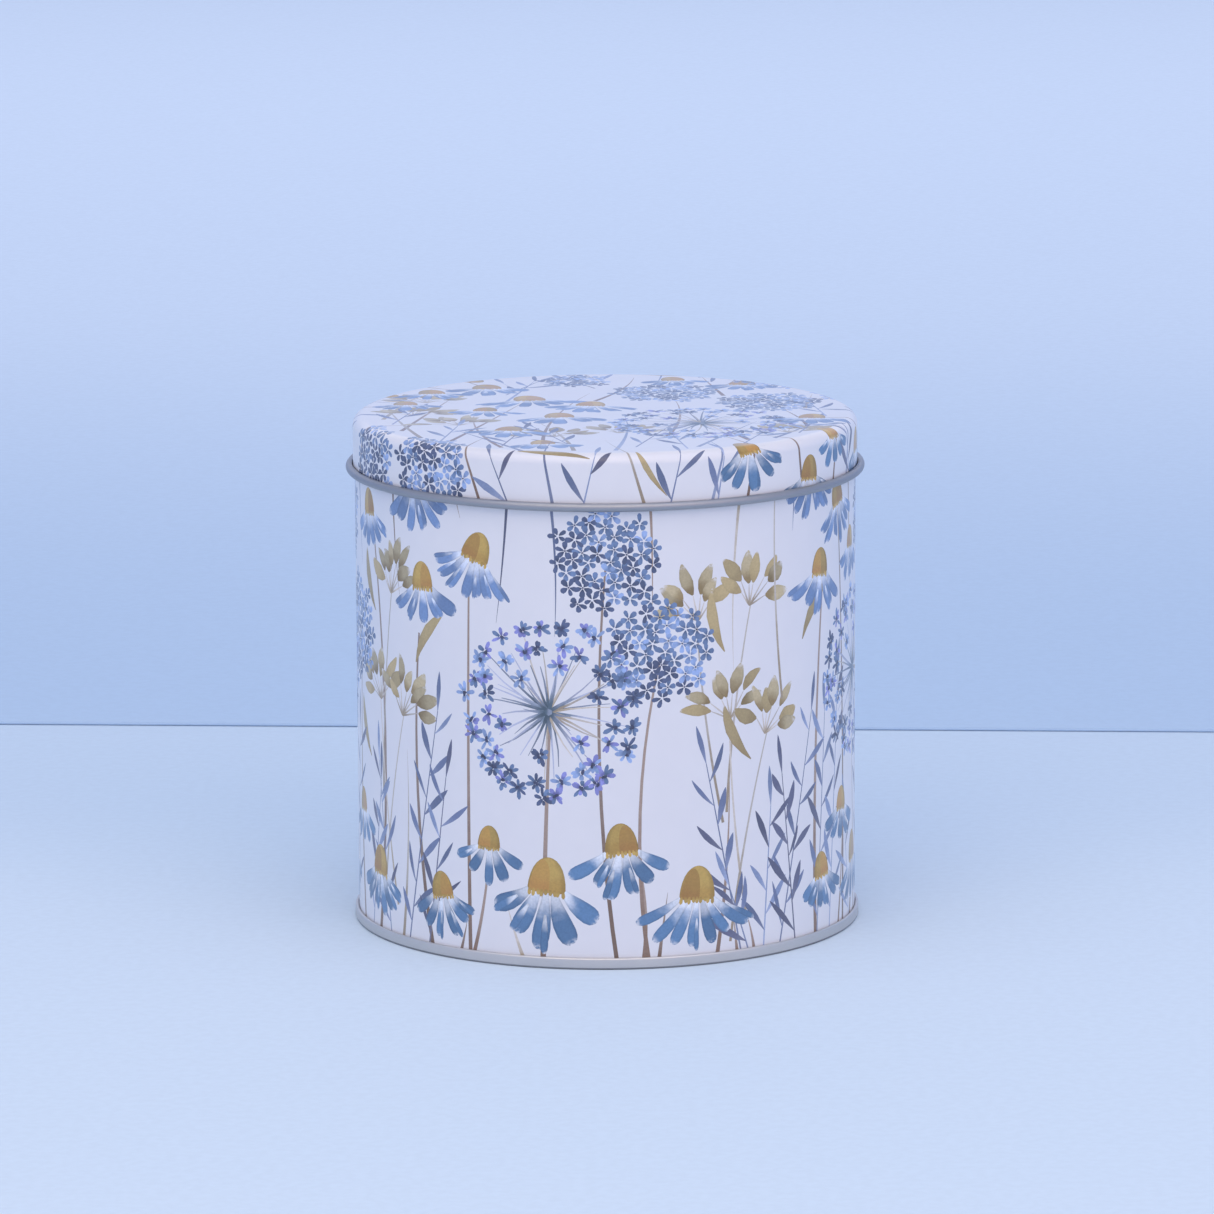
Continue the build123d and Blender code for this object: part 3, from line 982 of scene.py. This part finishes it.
def make_lid(materials):
    """The printed lid: panel, shoulder and skirt, with a bare bead curled outwards."""
    skirt_line = SKIRT_RADIUS - HALF_SHEET
    line = sheet_line((0, TOP - HALF_SHEET), OUTWARD, (
        ("run", SHOULDER_CENTRE_RADIUS),
        ("bend", SHOULDER_RADIUS - HALF_SHEET, -QUARTER),
        ("run", SHOULDER_CENTRE_HEIGHT - BEAD_HEIGHT),
        ("bend", BEAD_RADIUS - HALF_SHEET, BEAD_CURL),
    ))
    outside, inside = face_of(line, 1), face_of(line, -1)
    skirt_end = max(
        k for k, (radius, height, _) in enumerate(line)
        if abs(radius - skirt_line) < TINY and abs(height - BEAD_HEIGHT) < TINY
    )

    # the flat blank: a disc whose radius is the distance from the centre over the shoulder
    bend = SHOULDER_RADIUS * math.pi / 2
    skirt_start = SHOULDER_CENTRE_RADIUS + bend
    blank = skirt_start + SHOULDER_CENTRE_HEIGHT - BEAD_HEIGHT
    turns = even_angles(-QUARTER, PRINT_STEPS)
    border = [polar(blank, turn) for turn in turns]
    shares = [k / SHOULDER_STEPS for k in range(SHOULDER_STEPS + 1)]
    rounds = [SHOULDER_CENTRE_RADIUS + bend * share for share in shares]
    guides = [[polar(r, turn) for turn in turns + turns[:1]] for r in rounds]
    guides += [[polar(SHOULDER_CENTRE_RADIUS - 2, turn), polar(blank, turn)] for turn in turns]

    def wrap(flat):
        turn = np.arctan2(flat[:, 1], flat[:, 0])
        off_corner = (np.degrees(turn) + QUARTER) % (FULL / PRINT_STEPS)
        half_side = math.radians(HALF / PRINT_STEPS)
        # the guides and the border have straight sides, which become true circles
        bulge = np.cos(np.radians(off_corner) - half_side) / math.cos(half_side)
        rho = np.hypot(flat[:, 0], flat[:, 1]) * bulge
        slope = np.clip((rho - SHOULDER_CENTRE_RADIUS) / SHOULDER_RADIUS, 0, math.pi / 2)
        radius = np.minimum(rho, SHOULDER_CENTRE_RADIUS) + SHOULDER_RADIUS * np.sin(slope)
        height = SHOULDER_CENTRE_HEIGHT + SHOULDER_RADIUS * np.cos(slope)
        height -= np.maximum(rho - skirt_start, 0)
        cos, sin = np.cos(turn), np.sin(turn)
        points = np.column_stack((radius * cos, radius * sin, height))
        return points, np.column_stack((np.sin(slope) * cos, np.sin(slope) * sin, np.cos(slope)))

    def onto_skirt(x, y):
        return polar(blank - y, math.degrees(x / SKIRT_RADIUS) - QUARTER)

    marks = []
    dice = random.Random(11)
    lid_panel(Pen(marks, lambda x, y: (x, y), dice))
    for centre in (0, math.pi * SKIRT_RADIUS):
        skirt_border(Pen(marks, onto_skirt, dice).at(centre, 0))
    shell = Shell()
    flat_points = lay_print(shell, marks, border, guides, lambda p: True, wrap)

    def angle_of(place):
        angle = math.degrees(math.atan2(place[1], place[0]))
        return (angle + QUARTER + TINY) % FULL - QUARTER - TINY

    edge = edge_row(flat_points, lambda p: True, angle_of)
    edge.append((edge[0][0] + FULL, edge[0][1]))
    angles = even_angles(-QUARTER, RING_STEPS)
    # the bead takes the darker grey metal, which is painted shade
    bead = shell.spin(outside[skirt_end + 1:] + inside[:skirt_end:-1], angles, edge, "bead")
    shell.spin(inside[skirt_end::-1], angles, bead)
    make_object("printed_lid", shell, materials, "lid", "printed_tinplate", "lid")


def make_bottom(materials):
    """The bare bottom end: double seam, standing ring, countersink and stepped panel."""
    hook_tip = BODY_FOLD_HEIGHT + HOOK_OVERLAP_END
    end_hook, seam, countersink = (WALL_LINE + LAYER_PITCH * k for k in (1, 3, -1))
    slope = math.radians(STEP_ANGLE)
    step_width = 2 * STEP_BEND * math.sin(slope) + STEP_RUN * math.cos(slope)
    line = sheet_line((end_hook, hook_tip), UP, (
        ("run", END_FOLD_HEIGHT - hook_tip),
        ("bend", LAYER_PITCH, -HALF),
        ("run", END_FOLD_HEIGHT - HALF_SHEET - FOOT_BEND),
        ("bend", FOOT_BEND, -QUARTER),
        ("run", seam - countersink - 2 * FOOT_BEND),
        ("bend", FOOT_BEND, -QUARTER),
        ("run", PANEL_HEIGHT - PANEL_BEND - HALF_SHEET - FOOT_BEND),
        ("bend", PANEL_BEND, QUARTER),
        ("run", countersink - PANEL_BEND - STEP_RADIUS),
        ("bend", STEP_BEND, STEP_ANGLE),
        ("run", STEP_RUN),
        ("bend", STEP_BEND, -STEP_ANGLE),
        ("run", STEP_RADIUS - step_width),
    ))
    shell = Shell()
    angles = even_angles(0, RING_STEPS)
    left, right = face_of(line, 1), face_of(line, -1)
    middle = left.pop()
    first = shell.ring(*left.pop(), angles)
    shell.cap(first, middle[1])
    shell.spin(left[::-1] + right, angles, first)
    # the seam's outer band is rubbed; the standing ring under it gets a dark metal that is painted
    # shade, for the dark line where the tin meets the floor
    foot = FOOT_BEND + HALF_SHEET + TINY
    for k, corners in enumerate(shell.faces):
        places = [shell.points[corner] for corner in corners]
        if max(z for _, _, z in places) < foot:
            shell.finishes[k] = "worn"
        elif min(math.hypot(x, y) for x, y, _ in places) > WALL_RADIUS:
            shell.finishes[k] = "seam"
    make_object("seamed_bottom", shell, materials, "tin_body", "bare_tinplate", "bottom_end")


# ---------------- stage, light and camera


def paper_material(name, near, far, reach):
    """A sheet of pale blue paper whose colour changes towards its back; the change is painted light and
    shade.
    """
    material, tree, shader = new_material(name)
    place = node(tree, "ShaderNodeTexCoord").outputs["Object"]
    depth = node(tree, "ShaderNodeSeparateXYZ", {0: place}).outputs[1]
    share = ramp(tree, depth, 0.0, reach)
    fibre = ramp(tree, noise(tree, 500, 4.0), 0.3, 0.7, 0.985, 1.015)
    colour = brightened(tree, mixed(tree, share, (*near, 1), (*far, 1)), fibre)
    tree.links.new(colour, shader.inputs["Base Color"])
    shader.inputs["Roughness"].default_value = 0.9
    shader.inputs["Specular IOR Level"].default_value = 0.15
    return material


def make_stage():
    """A pale floor, and a second sheet that lies on it a little way behind the tin."""
    back, skew = 0.179, math.radians(-2.96)
    thickness, rounding = 0.0006, 0.0002
    # each sheet's near and far colours are painted light and shade: the floor turns darker from the tin
    # backwards, as painted shade, and the back sheet is darker at its front edge, a painted shade where
    # it meets the floor, and lighter far off, a painted light
    sheets = (
        ("floor", 0.0, 8.0, -8.0, 8.0, (0.67, 0.785, 0.88), (0.61, 0.73, 0.84), 0.12),
        ("backdrop", 0.0007, 7.0, 0.0, 7.0, (0.50, 0.64, 0.80), (0.68, 0.79, 0.90), 0.7),
    )
    for name, top, half_width, front, rear, near, far, reach in sheets:
        form = bmesh.new()
        corners = [(-half_width, front), (half_width, front), (half_width, rear), (-half_width, rear)]
        base = form.faces.new([form.verts.new((x, y, top - thickness)) for x, y in corners])
        raised = bmesh.ops.extrude_face_region(form, geom=[base])["geom"]
        lifted = [v for v in raised if isinstance(v, bmesh.types.BMVert)]
        bmesh.ops.translate(form, verts=lifted, vec=(0, 0, thickness))
        bmesh.ops.bevel(form, geom=form.edges[:], offset=rounding, segments=3, affect="EDGES")
        bmesh.ops.recalc_face_normals(form, faces=form.faces)
        mesh = bpy.data.meshes.new(name)
        form.to_mesh(mesh)
        form.free()
        mesh.materials.append(paper_material(name, near, far, reach))
        sheet = place_object(name, mesh)
        if name == "backdrop":
            sheet.matrix_world = Matrix.Translation((0, back, 0)) @ Matrix.Rotation(skew, 4, "Z")
        sheet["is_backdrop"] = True


def add_light(name, place, aim, size, power, colour):
    data = bpy.data.lights.new(name, "AREA")
    data.shape = "RECTANGLE"
    data.size, data.size_y = size
    data.energy = power
    data.color = colour
    lamp = place_object(name, data)
    lamp.location = place
    lamp.rotation_euler = (Vector(aim) - Vector(place)).to_track_quat("-Z", "Y").to_euler()


def make_light():
    """A pale blue surround and four large soft lamps."""
    world = bpy.data.worlds.new("studio")
    world.use_nodes = True
    tree = world.node_tree
    tree.nodes.clear()
    way = node(tree, "ShaderNodeTexCoord").outputs["Generated"]
    _, depth, height = node(tree, "ShaderNodeSeparateXYZ", {0: way}).outputs
    level = mixed(tree, ramp(tree, depth, -0.6, 0.6), (0.66, 0.66, 0.86, 1), (0.37, 0.49, 0.80, 1))
    colour = mixed(tree, ramp(tree, height, 0.1, 0.8), level, (0.39, 0.44, 0.57, 1))
    glow = node(tree, "ShaderNodeBackground", {"Color": colour, "Strength": 1.2})
    output = node(tree, "ShaderNodeOutputWorld")
    tree.links.new(glow.outputs[0], output.inputs[0])
    bpy.context.scene.world = world
    add_light("top", (0, -0.7, 1.5), (0, -0.2, 0), (2.6, 2.0), 12.0, (0.81, 0.83, 1.0))
    add_light("side", (0.9, -1.2, 1.0), (0, 0, 0.05), (1.2, 1.2), 2.5, (1.0, 0.66, 0.46))
    add_light("near", (-0.1, -0.5, 0.7), (0, -0.1, 0), (0.6, 0.5), 0.9, (1.0, 0.7, 0.2))
    add_light("back", (0, 1.5, 0.8), (0, 1.5, 0), (2.4, 1.0), 3.8, (1.0, 0.9, 0.9))
    bpy.context.scene.view_settings.view_transform = "Standard"


def make_camera():
    """In front of the tin, looking down on it and leaning very slightly."""
    place = (0.00025, -1.4, 0.3307)
    look_down, lean = 10.848, -0.24
    data = bpy.data.cameras.new("camera")
    data.lens = 210.8
    data.sensor_width = 36.0
    data.clip_start, data.clip_end = 0.01, 50.0
    camera = place_object("camera", data)
    tilt, roll = math.radians(QUARTER - look_down), math.radians(lean)
    turn = Matrix.Rotation(tilt, 4, "X") @ Matrix.Rotation(roll, 4, "Z")
    camera.matrix_world = Matrix.Translation(place) @ turn
    bpy.context.scene.camera = camera


watercolour = watercolour_group()
varnish = varnish_group()
finishes = {name: ink_material(name, watercolour, varnish) for name in INKS}
finishes["ground"] = ground_material(varnish)
finishes["tin"] = tin_material("tin", (0.86, 0.87, 0.89))
finishes["seam"] = tin_material("seam", (0.68, 0.67, 0.66))
# painted shade: the bead is the same tinplate in a darker grey, standing in for the dim reflections
# that the curl catches
finishes["bead"] = tin_material("bead", (0.41, 0.42, 0.45))
# painted shade: a dark metal on the standing ring under the seam, standing in for the dark line where
# the tin meets the floor
finishes["worn"] = tin_material("worn", (0.36, 0.36, 0.38))

make_wall(finishes)
make_lid(finishes)
make_bottom(finishes)
make_stage()
make_light()
make_camera()

boxes = {"cad": cad_box, "visual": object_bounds()}
{name: [list(corner) for corner in box] for name, box in boxes.items()}
